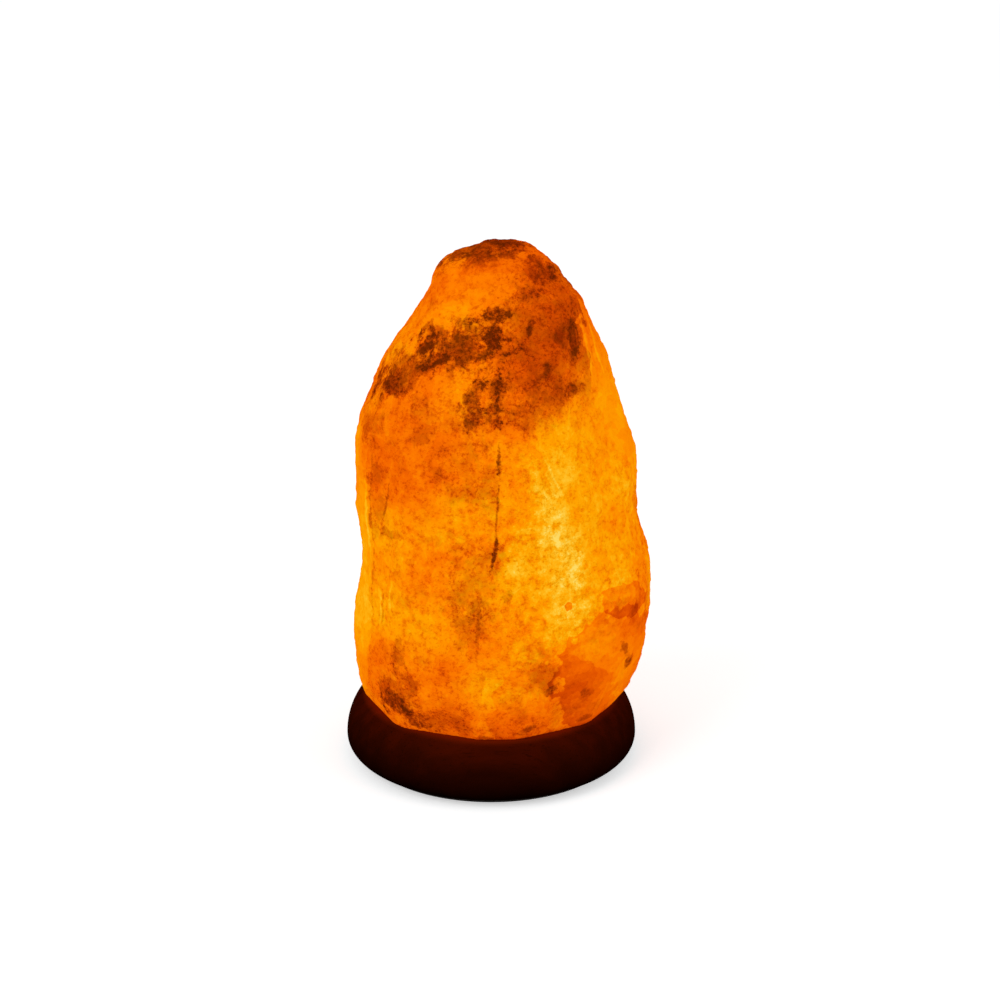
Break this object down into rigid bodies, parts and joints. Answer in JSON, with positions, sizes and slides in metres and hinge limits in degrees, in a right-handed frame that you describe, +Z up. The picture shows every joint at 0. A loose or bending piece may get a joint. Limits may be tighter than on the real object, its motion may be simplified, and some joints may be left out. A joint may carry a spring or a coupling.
{
  "type": "salt crystal lamp",
  "caption": "Hewn translucent salt block on a turned wooden base, lit from inside by a small screw bulb in a clip-in lampholder that draws out from below.",
  "frame": {"origin": "under the middle of the base, on the surface that the lamp stands on", "axes": "+Z up along the axis of the turned base, -Y to the front that the picture shows, +Y to the slot where the supply lead would leave"},
  "size_m": [0.1309, 0.1249, 0.2265],
  "materials": {
    "felt": "matte",
    "stained_wood": "satin",
    "rock_salt": "translucent, lit from inside",
    "nylon": "matte",
    "zinc_screw": "satin",
    "nickel_nipple": "satin",
    "spring_steel": "satin",
    "black_phenolic": "gloss",
    "steatite": "matte",
    "contact_brass": "satin",
    "lamp_cap_metal": "satin",
    "solder": "satin",
    "black_glass": "gloss",
    "clear_glass": "gloss",
    "stem_glass": "gloss",
    "nickel_wire": "satin",
    "tungsten": "glowing"
  },
  "bodies": {
    "stand": {"felt_ring": "felt", "wood_base": "stained_wood", "salt_crystal": "rock_salt", "rock_plugs": "nylon", "rock_screws": "zinc_screw"},
    "light_unit": {"nipple": "nickel_nipple", "nipple_nut": "nickel_nipple", "clip_saddle": "spring_steel", "holder_cap": "black_phenolic", "holder_shell": "black_phenolic", "contact_insert": "steatite", "terminal_blocks": "contact_brass", "terminal_screws": "contact_brass", "contact_rivets": "contact_brass", "centre_contact": "contact_brass", "screw_shell": "contact_brass"},
    "left_wing": {"clip_wing_left": "spring_steel"},
    "right_wing": {"clip_wing_right": "spring_steel"},
    "bulb_seat": {"bulb_contact": "solder"},
    "bulb": {"bulb_insulator": "black_glass", "bulb_cap": "lamp_cap_metal", "bulb_glass": "clear_glass", "bulb_stem": "stem_glass", "bulb_leads": "nickel_wire", "filament": "tungsten"}
  },
  "joints": [
    {"name": "light_unit_slide", "type": "slide", "parent": "stand", "child": "light_unit", "axis": [0, 0, -1], "range_m": [0, 0.1]},
    {"name": "left_wing_flex", "type": "hinge", "parent": "light_unit", "child": "left_wing", "pos_m": [-0.017, 0, 0.0166], "axis": [0, 1, 0], "range_deg": [0, 10], "stiffness_Nm_per_rad": 0.2, "springref_deg": -2.86},
    {"name": "right_wing_flex", "type": "hinge", "parent": "light_unit", "child": "right_wing", "pos_m": [0.017, 0, 0.0166], "axis": [0, -1, 0], "range_deg": [0, 10], "stiffness_Nm_per_rad": 0.2, "springref_deg": -2.86},
    {"name": "bulb_seat_rise", "type": "slide", "parent": "light_unit", "child": "bulb_seat", "axis": [0, 0, 1], "range_m": [0, 0.01128]},
    {"name": "bulb_turn", "type": "hinge", "parent": "bulb_seat", "child": "bulb", "pos_m": [0, 0, 0.035], "axis": [0, 0, 1], "range_deg": [0, 1440]}
  ],
  "couplings": [
    {"joint": "bulb_turn", "follows": "bulb_seat_rise", "rad_per_m": 2226.5}
  ]
}
